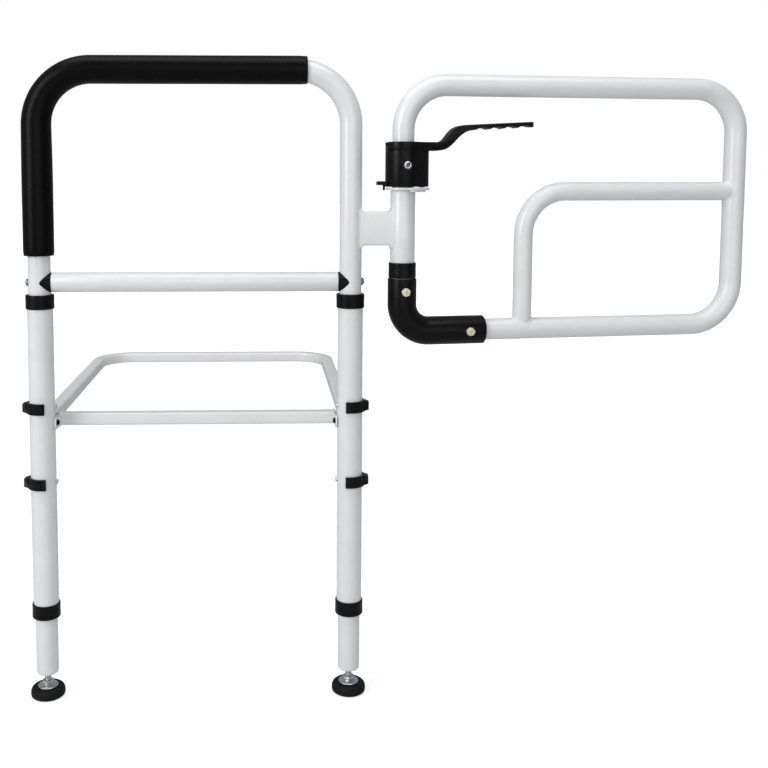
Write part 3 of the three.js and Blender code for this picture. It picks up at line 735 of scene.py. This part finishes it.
def mirrored(piece, name):  # the same piece for the other side, as if seen in a mirror
    twin = copyOf(piece, name)
    use(twin)
    twin.scale.x = -1
    bpy.ops.object.transform_apply(location=True, rotation=True, scale=True)
    edit()
    closeSeams()
    return twin


def beadOn(edges, size, waves=0.12):  # a weld bead laid along a loop of edges
    use(edges)
    bpy.ops.object.convert(target="CURVE")
    edges.data.bevel_depth = size
    edges.data.bevel_resolution = 3
    bpy.ops.object.convert(target="MESH")
    piece = bpy.context.object
    edit()
    closeSeams()
    for vertex in piece.data.vertices:
        vertex.co += vertex.normal * size * waves * noise.noise(vertex.co * 320)
    return piece


# Loop that lies under the mattress: rounded box section, with a straight front bar and screwed-on ears
loop = {"corner": 3, "wall": 1.5, "bend": 56, "ear": 2.1, "screwZ": 361,
        "plateFront": 16.3, "plateBack": 19.3, "beadY": 19.45}
low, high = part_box("under_mattress_loop")
section = Vector((18, 0, 16)) * mm
armX = (high.x - low.x) / 2 - section.x / 2
loopZ = (low.z + high.z) / 2
frontY = low.y - postY
rearY = high.y - postY - section.x / 2
corners = [Vector((-armX, frontY, loopZ)), Vector((-armX, rearY, loopZ)),
           Vector((armX, rearY, loopZ)), Vector((armX, frontY, loopZ))]
piece = boxRing("underMattressLoop", section.x, section.z, loop["corner"] * mm, corners[0], 0)
runAlong(piece, corners, loop["bend"] * mm, 30)
modify(piece, "SOLIDIFY", thickness=loop["wall"] * mm, offset=-1, use_rim=True)
settle(smooth(piece), "rail", "frame", "white_paint", "under_mattress_loop")

low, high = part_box("loop_front_bar")
barY = (low.y + high.y) / 2 - postY
half = (high.x - low.x) / 2
size = high.z - low.z
ends = [Vector((-half, barY, loopZ)), Vector((half, barY, loopZ))]
piece = boxRing("loopFrontBar", size, size, loop["corner"] * mm, ends[0], quarterTurn)
runAlong(piece, ends)
modify(piece, "SOLIDIFY", thickness=loop["wall"] * mm, offset=-1, use_rim=True)
settle(smooth(piece), "rail", "frame", "white_paint", "loop_front_bar")

low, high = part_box("right_loop_bracket")
earInner, earOuter = low.x - railX, high.x - railX
earFront, earBack = low.y - postY, high.y - postY
earHalf = (high.z - low.z) / 2
nose = [(earFront + earHalf * (1 - math.sin(a)), loopZ + earHalf * math.cos(a))
        for a in (math.pi * k / 24 for k in range(25))]
tail = [(earBack, loopZ - earHalf), (earBack, loopZ + earHalf)]
ear = outline("ear", nose + tail, -earInner - loop["ear"] * mm, -earInner, "XZ")
use(ear)
ear.rotation_euler = (0, 0, quarterTurn)
bpy.ops.object.transform_apply(location=True, rotation=True, scale=True)
plateStart = Vector((earInner, loop["plateFront"] * mm, loopZ - earHalf))
plate = block("backPlate", plateStart, Vector((earOuter, loop["plateBack"] * mm, loopZ + earHalf)))
unite(ear, plate)
cutAway(ear, bar("hole", 3 * mm, upAt(170, loop["screwZ"]), upAt(185, loop["screwZ"]), 32))
soften(ear, 0.45 * mm, 2, 50)
fillet = boxRing("fillet", section.x, section.z, loop["corner"] * mm,
                 Vector((armX, loop["beadY"] * mm, loopZ)), 0)
frontFillet = boxRing("frontFillet", size, size, loop["corner"] * mm,
                      Vector((half + 0.2 * mm, barY, loopZ)), quarterTurn)
gather(ear, beadOn(fillet, 1.1 * mm), beadOn(frontFillet, 1.2 * mm))
ear.name = ear.data.name = "rightLoopBracket"
twin = mirrored(ear, "leftLoopBracket")
settle(smooth(ear), "rail", "frame", "white_paint", "right_loop_bracket")
settle(smooth(twin), "rail", "frame", "white_paint", "left_loop_bracket")

screw = [(0, 0), (3.7, 0), (3.68, 0.6), (3.3, 1.7), (2.6, 2.6), (1.7, 3.2), (1.25, 3.3), (1.1, 1.6),
         (0, 1.6)]
piece = turnedOn("rightLoopScrew", screw, 0.12, 48)
layDown(piece, inwards, Vector((earInner - 0.1 * mm, 0, loop["screwZ"] * mm)))
gather(piece, bar("shank", 2.5 * mm, upAt(177, loop["screwZ"]), upAt(189, loop["screwZ"]), 32))
twin = mirrored(piece, "leftLoopScrew")
settle(smooth(piece), "rail", "frame", "black_screw", "right_loop_screw")
settle(smooth(twin), "rail", "frame", "black_screw", "left_loop_screw")
print("loop made")

# Pivot: a box-section bracket welded between the hoop's leg and the sleeve that the arm turns in
pivot = {"corner": 3, "wall": 2, "flare": 4, "sections": 120, "bead": 0.8, "sleeve": 15.5,
         "sleeveWall": 1.5, "besideHoop": 14.1, "besideSleeve": 15.6, "cutLow": 540, "cutHigh": 680}
low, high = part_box("pivot_bracket")
bracketZ = (low.z + high.z) / 2
deep, tall = high.y - low.y, high.z - low.z
reach = pivotSpot.x - railX
hoopClear, sleeveClear = pivot["besideHoop"] * mm, pivot["besideSleeve"] * mm
ends = [Vector((span, 0, bracketZ)), Vector((reach, 0, bracketZ))]
piece = boxRing("pivotBracket", deep, tall, pivot["corner"] * mm, ends[0], quarterTurn)
runAlong(piece, ends, parts=pivot["sections"])
flare = pivot["flare"] * mm
for vertex in piece.data.vertices:  # the top and bottom sweep out into both tubes
    clear = min(vertex.co.x - span - hoopClear, reach - sleeveClear - vertex.co.x)
    clear = min(max(clear, 0), flare)
    sweep = flare - math.sqrt(flare ** 2 - (flare - clear) ** 2)
    vertex.co.z += math.copysign(sweep, vertex.co.z - bracketZ)
modify(piece, "SOLIDIFY", thickness=pivot["wall"] * mm, offset=-1, use_rim=True)
sides = ((span, hoopClear, 1), (reach, sleeveClear, -1))
for x, radius, way in sides:
    ends = [upAt(x / mm, pivot["cutLow"]), upAt(x / mm, pivot["cutHigh"])]
    cutAway(piece, bar("notch", radius, *ends, 96))
for x, radius, way in sides:
    fillet = boxRing("fillet", deep, tall + 2 * flare, pivot["corner"] * mm,
                     Vector((0, 0, bracketZ)), quarterTurn)
    modify(fillet, "SUBSURF", levels=2, render_levels=2, subdivision_type="SIMPLE")
    for vertex in fillet.data.vertices:
        vertex.co.x = x + way * math.sqrt(radius ** 2 - vertex.co.y ** 2)
    gather(piece, beadOn(fillet, pivot["bead"] * mm, 0.05))
settle(smooth(piece), "rail", "hoop", "white_paint", "pivot_bracket")

low, high = (z / mm for z in heightsOf("pivot_sleeve"))
bore = pivot["sleeve"] - pivot["sleeveWall"]
profile = [(pivot["sleeve"], low), (pivot["sleeve"], high), (bore, high), (bore, low)]
piece = turnedOn("pivotSleeve", profile, 0.3, 96)
settle(smooth(piece), "pivot", "hoop", "white_paint", "pivot_sleeve")

index = {"wide": 33, "narrow": 21, "hole": 14.2, "thick": 3, "sector": 85.5,
         "pins": (-72, -36, 0, 36, 72), "at": 24.7, "cup": 4.9, "pocket": 4.2}
low, high = heightsOf("index_plate")
plateLow = high - index["thick"] * mm
piece = bar("indexPlate", index["wide"] * mm, Vector((0, 0, plateLow)), Vector((0, 0, high)), 120)
for way in (1, -1):
    angle = math.radians(index["sector"])
    edit("FACE")
    away = (-math.sin(angle), way * math.cos(angle), 0)
    bpy.ops.mesh.bisect(plane_co=(0, 0, 0), plane_no=away, use_fill=True, clear_outer=True)
    bpy.ops.object.mode_set(mode="OBJECT")
unite(piece, bar("narrow", index["narrow"] * mm, Vector((0, 0, plateLow)), Vector((0, 0, high)), 96))
turns = [math.radians(degrees) for degrees in index["pins"]]
places = [(index["at"] * math.cos(turn) * mm, index["at"] * math.sin(turn) * mm) for turn in turns]
for x, y in places:
    unite(piece, bar("cup", index["cup"] * mm, Vector((x, y, low)), Vector((x, y, plateLow + mm)), 40))
for x, y in places:
    ends = [Vector((x, y, low + mm)), Vector((x, y, high + mm))]
    cutAway(piece, bar("pocket", index["pocket"] * mm, *ends, 40))
cutAway(piece, bar("middle", index["hole"] * mm, Vector((0, 0, low - mm)), Vector((0, 0, high + mm)), 96))
settle(smooth(soften(piece, 0.35 * mm, 2, 50)), "pivot", "hoop", "white_paint", "index_plate")
print("pivot made")

# Swing arm: one bent tube, with a brace welded inside it
arm = {"radius": 13.7, "wall": 1.5, "bend": 57, "start": 514, "top": 787.5, "bottom": 476.4,
       "reach": 455, "end": 62, "gap": 0.05}
brace = {"radius": 12, "x": 161, "z": 654, "bend": 56, "bead": 1.5}
corners = [upAt(0, arm["start"]), upAt(0, arm["top"]), upAt(arm["reach"], arm["top"]),
           upAt(arm["reach"], arm["bottom"]), upAt(arm["end"], arm["bottom"])]
piece = tube("armTube", arm["radius"] * mm, arm["wall"] * mm, corners, arm["bend"] * mm, 96, 36)
settle(smooth(piece), "pivot", "swing_arm", "white_paint", "arm_tube")

corners = [upAt(brace["x"], arm["bottom"]), upAt(brace["x"], brace["z"]), upAt(arm["reach"], brace["z"])]
piece = tube("armBrace", brace["radius"] * mm, arm["wall"] * mm, corners, brace["bend"] * mm, 88, 32)
notch = (arm["radius"] + arm["gap"]) * mm
cutAway(piece, bar("lowerBar", notch, upAt(100, arm["bottom"]), upAt(220, arm["bottom"]), 96),
        bar("upright", notch, upAt(arm["reach"], 600), upAt(arm["reach"], 700), 96))
lowerBead = weldBead("lowerBead", brace["radius"] * mm, brace["bead"] * mm,
                     upAt(brace["x"], arm["bottom"] + arm["radius"]), up, (arm["radius"] * mm, "Y"))
upperBead = weldBead("upperBead", brace["radius"] * mm, brace["bead"] * mm,
                     upAt(arm["reach"] - arm["radius"], brace["z"]), inwards, (arm["radius"] * mm, "X"))
gather(piece, lowerBead, upperBead)
settle(smooth(piece), "pivot", "swing_arm", "white_paint", "arm_brace")

# Elbow: a thick moulded bend that joins the tube's two ends, with a bolt through each
elbow = {"radius": 18.2, "wall": 4.1, "bend": 35, "top": 544.3, "reach": 107.6, "hole": 3.4,
         "bolts": ((0, 528), (85.3, 476.4))}
corners = [upAt(0, elbow["top"]), upAt(0, arm["bottom"]), upAt(elbow["reach"], arm["bottom"])]
piece = tube("armElbow", elbow["radius"] * mm, elbow["wall"] * mm, corners, elbow["bend"] * mm, 96, 30)
soften(piece, 1.1 * mm, 4, 50)
for x, z in elbow["bolts"]:
    cutAway(piece, bar("boltHole", elbow["hole"] * mm, upAt(x, z, -30), upAt(x, z, 30), 32))
settle(smooth(piece), "pivot", "swing_arm", "black_plastic", "elbow")

bolt = {"across": 9.4, "washer": 5.2, "seat": 18.3, "head": 22.2, "tip": 24.2, "cross": 1.3}
for k, (level, (x, z)) in enumerate(zip(("upper", "lower"), elbow["bolts"])):
    head = hexBar(level + "ElbowBolt", bolt["across"] * mm, 0.7 * mm, (bolt["head"] - bolt["seat"]) * mm)
    for turn in (0, 1):  # a cross for the screwdriver
        wide, long = (bolt["cross"], 7) if turn else (7, bolt["cross"])
        cutAway(head, block("cross", upAt(-wide / 2, 2.2, -long / 2), upAt(wide / 2, 5, long / 2)))
    rim = bolt["washer"]
    washer = turnedOn("washer", [(0, 0), (rim, 0), (rim, 0.7), (rim - 0.5, 0.95), (0, 0.95)], 0.1, 64)
    gather(head, washer)
    use(head)
    bpy.ops.transform.rotate(value=math.radians(12 + 9 * k), orient_axis="Z", center_override=(0, 0, 0))
    bpy.ops.object.transform_apply(location=True, rotation=True, scale=True)
    layDown(head, forwards, upAt(x, z, -bolt["seat"]))
    shank = bar("shank", 3 * mm, upAt(x, z, -bolt["seat"] - 0.5), upAt(x, z, bolt["tip"]), 32)
    settle(smooth(gather(head, shank)), "pivot", "swing_arm", "yellow_zinc", level + "_elbow_bolt")
    nut = hexBar(level + "ElbowNut", bolt["across"] * mm, 0, 4.9 * mm)
    cutAway(nut, bar("nutBore", 3.2 * mm, Vector((0, 0, -mm)), Vector((0, 0, 8 * mm)), 32))
    layDown(nut, -forwards, upAt(x, z, bolt["seat"]))
    settle(smooth(nut), "pivot", "swing_arm", "yellow_zinc", level + "_elbow_nut")
print("arm made")

# Lock housing: a moulded barrel with a nose for the lock pin, a tab for the peg and a lug for the lever
housing = {"radius": 22.4, "nose": 12.1, "noseX": 20.7, "low": 659.9, "high": 705, "ringTop": 715.8}
leverPin = {"x": -18.4, "z": 710.4, "radius": 1.5, "half": 9.2, "room": 1.7, "roomHalf": 9.4}


def eggPrism(name, low, high):  # two barrels of different size, wrapped into one
    deselect()
    piece = bar(name, housing["radius"] * mm, upAt(0, low), upAt(0, high), 96)
    ends = [upAt(housing["noseX"], low), upAt(housing["noseX"], high)]
    gather(piece, bar("nose", housing["nose"] * mm, *ends, 64))
    edit()
    bpy.ops.mesh.convex_hull()
    closeSeams()
    return piece


piece = eggPrism("lockHousing", housing["low"], housing["high"])
soften(piece, 0.9 * mm, 3, 60)
tab = block("tab", upAt(-33.6, 662, -6), upAt(-15, 667, 6))
soften(tab, 1.6 * mm, 4, 50)
lug = outline("lug", [(-0.0214, 0.704), (-0.0154, 0.704)] + [
    ((leverPin["x"] + 3 * math.cos(a)) * mm, (leverPin["z"] + 3 * math.sin(a)) * mm)
    for a in (math.pi * k / 16 for k in range(17))], -5 * mm, 5 * mm, "XZ")
unite(piece, tab, lug)
screwZ = 686.8
cutAway(
    piece,
    bar("tubeBore", 14.1 * mm, upAt(0, 650), upAt(0, 720), 96),
    bar("pinBore", 4.4 * mm, upAt(index["at"], 650), upAt(index["at"], 669), 40),
    bar("springBore", 6.3 * mm, upAt(index["at"], 668), upAt(index["at"], 710), 48),
    bar("screwSeat", 5.6 * mm, upAt(0, screwZ, -30), upAt(0, screwZ, -21.6), 48),
    bar("screwBore", 3.1 * mm, upAt(0, screwZ, -30), upAt(0, screwZ, 0), 32),
    bar("peg", 1.8 * mm, upAt(-index["at"], 650), upAt(-index["at"], 665), 24),
)
for x in (6.5, 14.2):  # the lines where the mould's two slides met
    cutAway(piece, block("line", upAt(x, housing["low"] - 1, -24),
                         upAt(x + 0.35, housing["high"] + 0.1, -14)))
settle(smooth(piece, 30), "pivot", "swing_arm", "black_plastic", "lock_housing")

screw = [(0, -3), (2.8, -3), (2.8, 0), (4.9, 0), (5, 0.6), (4.5, 1.6), (3.6, 2.3), (2.8, 2.5),
         (2.4, 2.2), (2.4, -1.6), (0.9, -1.6), (0.7, 0.4), (0, 0.5)]
head = turnedOn("housingScrew", screw, 0, 56)
# the faces inside the socket's recess, which get a dark finish as painted shade
socket = []
for face in head.data.polygons:
    fromAxis = math.hypot(*face.center.xy)
    if 0.95 * mm < fromAxis < 2.5 * mm and -1.8 * mm < face.center.z < 2 * mm:
        socket.append(face.index)
layDown(head, forwards, upAt(0, screwZ, -22.3))
settle(smooth(head), "pivot", "swing_arm", "zinc_steel", "housing_screw")
head.data.materials.append(finishes["black_screw"])  # painted shade: the socket's faces get the dark black-oxide finish, so the recess looks shadowed
for number in socket:
    head.data.polygons[number].material_index = 1
shank = bar("housingScrewShank", 2.7 * mm, upAt(0, screwZ, -19.5), upAt(0, screwZ, -10), 32)
settle(smooth(soften(shank, 0.4 * mm)), "pivot", "swing_arm", "zinc_steel", "housing_screw")

low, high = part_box("stop_peg")
length = (high.z - low.z) / mm
peg = turnedOn("stopPeg", [(0, 0), (1.2, 0), (1.5, 0.4), (1.5, length), (0, length)], 0.1, 32)
layDown(peg, up, Vector((-index["at"] * mm, 0, low.z)))
settle(smooth(peg), "pivot", "swing_arm", "black_plastic", "stop_peg")

low, high = (z / mm for z in heightsOf("lock_pin"))
profile = [(0, low), (3.3, low), (4, low + 0.9), (4, 668.5), (5.8, 668.5), (5.8, 671.5), (2.5, 671.5),
           (2.5, high - 2.3), (5, high - 2.3), (5, high - 0.6), (4.4, high), (0, high)]
pin = layDown(turnedOn("lockPin", profile, 0.15, 48), up, upAt(index["at"], 0))
settle(smooth(pin), "pivot", "lock_pin", "zinc_steel", "lock_pin")

# Release lever: a ring round the tube, an S-bend, and a grip with four finger hollows underneath
lever = {"ring": 705.3, "tip": 170.4, "width": 22, "under": 731.6, "rise": 0.054,
         "hollows": 4, "hollowStart": 92, "hollowPitch": 18.6, "hollow": 4.4, "slot": 14.7}


def bezier(a, b, c, d, count):
    points = []
    for k in range(1, count + 1):
        t = k / count
        parts = ((1 - t) ** 3, 3 * t * (1 - t) ** 2, 3 * t * t * (1 - t), t ** 3)
        points.append(tuple(sum(w * p[i] for w, p in zip(parts, (a, b, c, d))) for i in (0, 1)))
    return points


def underside(x):
    return lever["under"] + lever["rise"] * (x - lever["hollowStart"])


ringTop = housing["ringTop"]
side = [(10, ringTop), (44, ringTop)]
side += bezier((44, ringTop), (57, ringTop), (58, 736.6), (77, 737.4), 16)
side += [(lever["tip"], 742.5), (lever["tip"], underside(lever["tip"]))]
for k in range(lever["hollows"], 0, -1):
    x = lever["hollowStart"] + k * lever["hollowPitch"]
    last = x - lever["hollowPitch"]
    deepest = ((x + last) / 2, underside(x) + lever["hollow"])
    ends = [(x, underside(x)), (last, underside(last))]
    pulls = [tuple((end[i] + 2 * deepest[i]) / 3 for i in (0, 1)) for end in ends]
    side += bezier(ends[0], *pulls, ends[1], 10)
side += bezier((lever["hollowStart"], lever["under"]), (64, 731), (66, lever["ring"]),
               (42, lever["ring"]), 18)
side += [(10, lever["ring"])]
side = [(x * mm, z * mm) for x, z in side]
half = lever["width"] / 2
grip = outline("releaseLever", side, -(half + 1) * mm, (half + 1) * mm, "XZ")
tipRound = [(lever["tip"] - 9 + 10 * math.cos(a), 9 * math.sin(a))
            for a in (math.pi * (k / 24 - 0.5) for k in range(25))]
plan = [(5, half), (5, -half), (lever["tip"] - 60, -half)] + tipRound + [(lever["tip"] - 60, half)]
keepInside(grip, outline("plan", [(x * mm, y * mm) for x, y in plan], 700 * mm, 760 * mm))
soften(grip, 1.2 * mm, 3, 55)
ringPiece = eggPrism("leverRing", lever["ring"], ringTop)
soften(ringPiece, 0.8 * mm, 3, 60)
unite(grip, ringPiece)
slot = bar("slot", lever["slot"] * mm, upAt(0, 700), upAt(0, 720), 96)
gather(slot, bar("slotEnd", lever["slot"] * mm, upAt(1.6, 700), upAt(1.6, 720), 96))
edit()
bpy.ops.mesh.convex_hull()
closeSeams()
cutAway(
    grip,
    slot,
    block("lugRoom", upAt(-24, 700, -5.4), upAt(-13, 720, 5.4)),
    block("heel", upAt(-24, 700, -24), upAt(leverPin["x"] + 1.5, 706.3, 24)),
    bar("stem", 3.7 * mm, upAt(index["at"], 700), upAt(index["at"], 720), 40),
    bar("headRoom", 6.4 * mm, upAt(index["at"], 710.5), upAt(index["at"], 720), 48),
    bar("pinRoom", leverPin["room"] * mm, upAt(leverPin["x"], leverPin["z"], -leverPin["roomHalf"]),
        upAt(leverPin["x"], leverPin["z"], leverPin["roomHalf"]), 32),
)
settle(smooth(grip, 34), "pivot", "release_lever", "black_plastic", "release_lever")
pin = bar("leverPin", leverPin["radius"] * mm, upAt(leverPin["x"], leverPin["z"], -leverPin["half"]),
          upAt(leverPin["x"], leverPin["z"], leverPin["half"]), 32)
settle(smooth(soften(pin, 0.3 * mm)), "pivot", "swing_arm", "zinc_steel", "lever_pin")
print("lever made")

# Lock spring: round wire wound in a coil, which the pin's shoulder squeezes towards its cap
spring = {"wire": 0.6, "coil": 4.3, "low": 672.6, "high": 699, "turns": 6, "squeezed": 0.77}
deselect()
bpy.ops.mesh.primitive_circle_add(vertices=12, radius=spring["wire"] * mm, rotation=(quarterTurn, 0, 0),
                                  location=upAt(spring["coil"], spring["low"]))
coil = begun("lockSpring")
pitch = (spring["high"] - spring["low"]) / spring["turns"]
modify(coil, "SCREW", axis="Z", angle=math.tau, screw_offset=pitch * mm,
       iterations=spring["turns"], steps=32, render_steps=32)
edit("EDGE")
bpy.ops.mesh.fill_holes(sides=0)
closeSeams()
layDown(coil, up, upAt(index["at"], 0))
settle(smooth(coil), "pivot", "swing_arm", "spring_steel", "lock_spring")
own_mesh(coil)
low, high = (z / mm for z in heightsOf("spring_cap"))
cap = turnedOn("springCap", [(3, low), (6, low), (6, high), (3, high)], 0.4, 48)
layDown(cap, up, upAt(index["at"], 0))
settle(smooth(cap), "pivot", "swing_arm", "black_plastic", "spring_cap")

# The nuts inside the posts keep their frame shape, out of sight
for node in ("left_loop_nut", "right_loop_nut"):
    for held in frame["nodes"][node].material_slots:
        held.material = finishes["zinc_steel"]
print("spring and nuts made")


# Floor and light
def area(name, place, aim, size, power, tint="ffffff"):
    light = bpy.data.lights.new(name, "AREA")
    light.shape = "RECTANGLE"
    light.size, light.size_y = size
    light.energy = power
    light.color = colour(tint)[:3]
    lamp = bpy.data.objects.new(name, light)
    bpy.context.scene.collection.objects.link(lamp)
    lamp.location = place
    lamp.rotation_euler = facing(Vector(place) - Vector(aim))


studio = {"fill": 0.32, "backdrop": 1.0, "nearGlow": 0.6, "farGlow": 1.0, "near": 0.9, "far": 2.6}
deselect()
bpy.ops.mesh.primitive_circle_add(vertices=96, radius=30, fill_type="NGON", location=(0, 0, 0))
floor = begun("floor")
matt, surface, place = newFinish("mattWhiteFloor", {"Roughness": 0.9, "Specular IOR Level": 0.2})
surface.inputs["Base Color"].default_value = colour("d2d2d2")
surface.inputs["Emission Color"].default_value = colour("ffffff")
away = addNode(matt, "ShaderNodeVectorMath", {"operation": "LENGTH"}, {0: place}).outputs["Value"]
values = {"From Min": studio["near"], "From Max": studio["far"],
          "To Min": studio["nearGlow"], "To Max": studio["farGlow"]}
glow = addNode(matt, "ShaderNodeMapRange", values, {"Value": away}).outputs["Result"]
seen = addNode(matt, "ShaderNodeLightPath", {}, {}).outputs["Is Camera Ray"]
glow = addNode(matt, "ShaderNodeMath", {"operation": "MULTIPLY"}, {0: glow, 1: seen}).outputs["Value"]
join(matt, glow, surface, "Emission Strength")  # lit from behind, it throws little light back
floor.data.materials.append(matt)

world = bpy.data.worlds.new("studio")
bpy.context.scene.world = world
world.use_nodes = True
sky = world.node_tree.nodes["Background"]
sky.inputs["Color"].default_value = colour("ffffff")
rays = addNode(world, "ShaderNodeLightPath", {}, {})
values = {"To Min": studio["fill"], "To Max": studio["backdrop"]}
seen = {"Value": rays.outputs["Is Camera Ray"]}
strength = addNode(world, "ShaderNodeMapRange", values, seen)
world.node_tree.links.new(strength.outputs["Result"], sky.inputs["Strength"])

area("windowLeft", (-2.1, -1.7, 1.4), (-0.1, 0, 0.5), (0.9, 1.8), 33)
area("topSoftbox", (-0.1, -0.5, 2.5), (0.05, 0, 0.5), (2.4, 1.2), 25)
area("frontFill", (0.5, -2.8, 1.1), (0.1, 0, 0.5), (2.2, 1.6), 14)
bpy.context.scene.view_settings.view_transform = "Standard"
print("floor and lights made")
